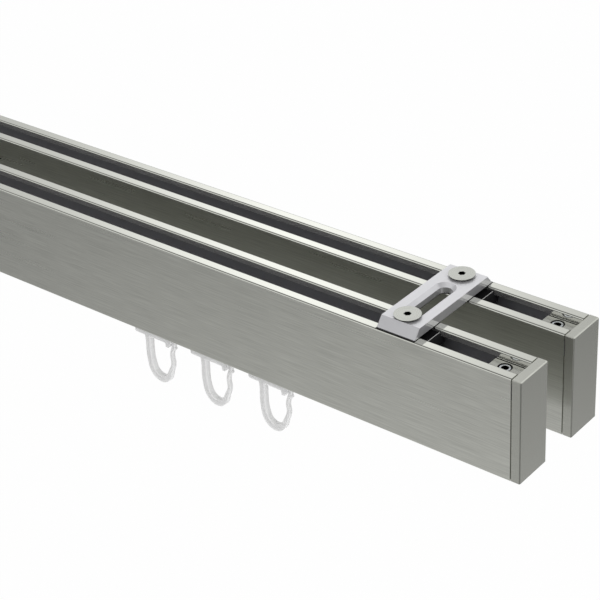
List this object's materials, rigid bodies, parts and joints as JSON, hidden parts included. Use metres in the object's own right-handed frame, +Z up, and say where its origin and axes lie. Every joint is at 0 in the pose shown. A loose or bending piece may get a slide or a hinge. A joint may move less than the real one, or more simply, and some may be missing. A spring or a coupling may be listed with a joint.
{
  "type": "double curtain track",
  "caption": "Ceiling-fixed double curtain track: two parallel aluminium profiles tied by slotted cross plates, with screwed end caps and sliding hook gliders.",
  "frame": {"origin": "midway between the two rails and midway along them, in the plane of the plate screws' flat tops, which meets the ceiling", "axes": "+X along the rails towards the end shown in the picture, +Y from the front rail to the rear rail, +Z up to the ceiling"},
  "size_m": [0.6, 0.042, 0.0631],
  "materials": {
    "rail": "brushed along the run",
    "cap": "satin",
    "plate": "fine brushed",
    "plate_screw": "turned",
    "cap_screw": "plated",
    "nut": "black",
    "glider": "translucent white"
  },
  "bodies": {
    "track": {"front_rail": "rail", "front_right_end_cap": "cap", "front_right_cap_screw": "cap_screw", "front_right_plate_screw": "plate_screw", "front_right_slot_nut": "nut", "front_left_end_cap": "cap", "front_left_cap_screw": "cap_screw", "front_left_plate_screw": "plate_screw", "front_left_slot_nut": "nut", "rear_rail": "rail", "rear_right_end_cap": "cap", "rear_right_cap_screw": "cap_screw", "rear_right_plate_screw": "plate_screw", "rear_right_slot_nut": "nut", "rear_left_end_cap": "cap", "rear_left_cap_screw": "cap_screw", "rear_left_plate_screw": "plate_screw", "rear_left_slot_nut": "nut", "right_cross_plate": "plate", "left_cross_plate": "plate"},
    "front_glider_1_body": {"front_glider_1": "glider"},
    "front_glider_2_body": {"front_glider_2": "glider"},
    "front_glider_3_body": {"front_glider_3": "glider"},
    "rear_glider_1_body": {"rear_glider_1": "glider"},
    "rear_glider_2_body": {"rear_glider_2": "glider"},
    "rear_glider_3_body": {"rear_glider_3": "glider"}
  },
  "joints": [
    {"name": "front_glider_1_slide", "type": "slide", "parent": "track", "child": "front_glider_1_body", "axis": [1, 0, 0], "range_m": [-0.438, 0.007]},
    {"name": "front_glider_2_slide", "type": "slide", "parent": "track", "child": "front_glider_2_body", "axis": [1, 0, 0], "range_m": [-0.007, 0.007]},
    {"name": "front_glider_3_slide", "type": "slide", "parent": "track", "child": "front_glider_3_body", "axis": [1, 0, 0], "range_m": [-0.007, 0.089]},
    {"name": "rear_glider_1_slide", "type": "slide", "parent": "track", "child": "rear_glider_1_body", "axis": [1, 0, 0], "range_m": [-0.091, 0.179]},
    {"name": "rear_glider_2_slide", "type": "slide", "parent": "track", "child": "rear_glider_2_body", "axis": [1, 0, 0], "range_m": [-0.179, 0.179]},
    {"name": "rear_glider_3_slide", "type": "slide", "parent": "track", "child": "rear_glider_3_body", "axis": [1, 0, 0], "range_m": [-0.179, 0.091]}
  ]
}
